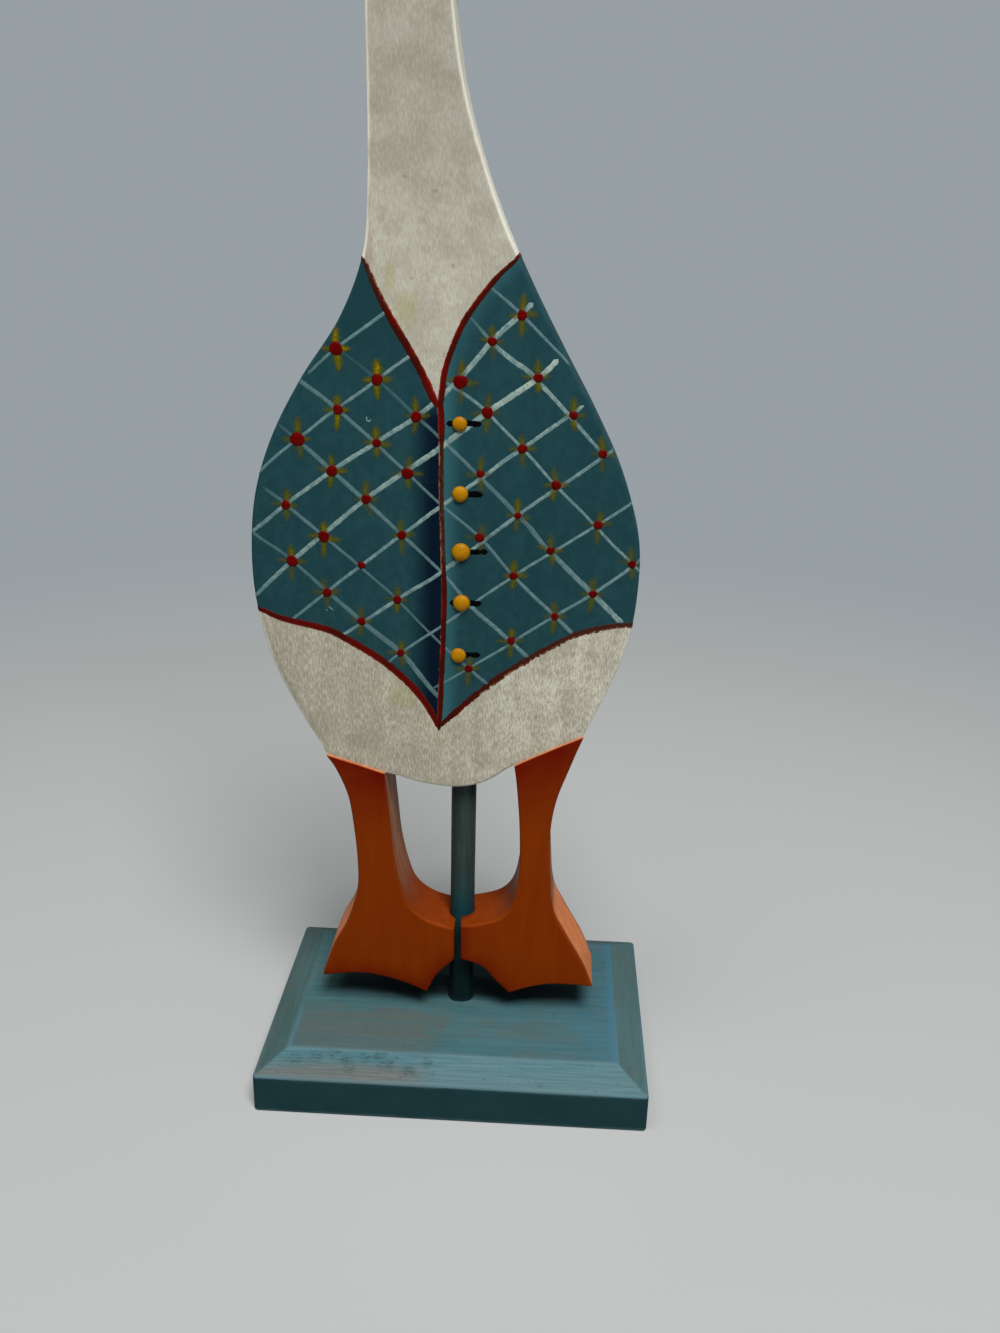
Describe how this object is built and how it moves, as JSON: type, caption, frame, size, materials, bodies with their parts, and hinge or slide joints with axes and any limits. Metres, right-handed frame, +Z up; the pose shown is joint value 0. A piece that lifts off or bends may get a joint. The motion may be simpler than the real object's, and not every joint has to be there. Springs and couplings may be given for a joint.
{
  "type": "wooden goose figurine",
  "caption": "Flat sawn wooden goose in a painted lattice vest, on sawn legs and a round rod that rises from a bevelled rectangular plaque.",
  "frame": {"origin": "middle of the plaque's underside, the face the figurine stands on", "axes": "+Z up; -Y is the goose's painted front with the buttons; +X is the way the beak points, the viewer's right"},
  "size_m": [0.15, 0.1016, 0.4498],
  "materials": {
    "plaque_paint": "brushed matt blue-green paint on wood, rubbed through in patches",
    "rod_paint": "dark grey-green satin paint on a hardwood dowel",
    "goose_paint": "matt antique cream paint with fine upright grain, and a painted dark teal lattice vest with red edging",
    "leg_paint": "satin burnt-orange paint, shaded to dark red at the hips and toes",
    "bare_peg": "bare turned hardwood",
    "button_paint": "satin yellow paint on small domed wooden buttons"
  },
  "bodies": {
    "root": {"base_plaque": "plaque_paint", "support_rod": "rod_paint", "body_board": "goose_paint", "left_leg": "leg_paint", "right_leg": "leg_paint", "left_hip_peg": "bare_peg", "right_hip_peg": "bare_peg", "button_1": "button_paint", "button_2": "button_paint", "button_3": "button_paint", "button_4": "button_paint", "button_5": "button_paint"}
  },
  "joints": []
}
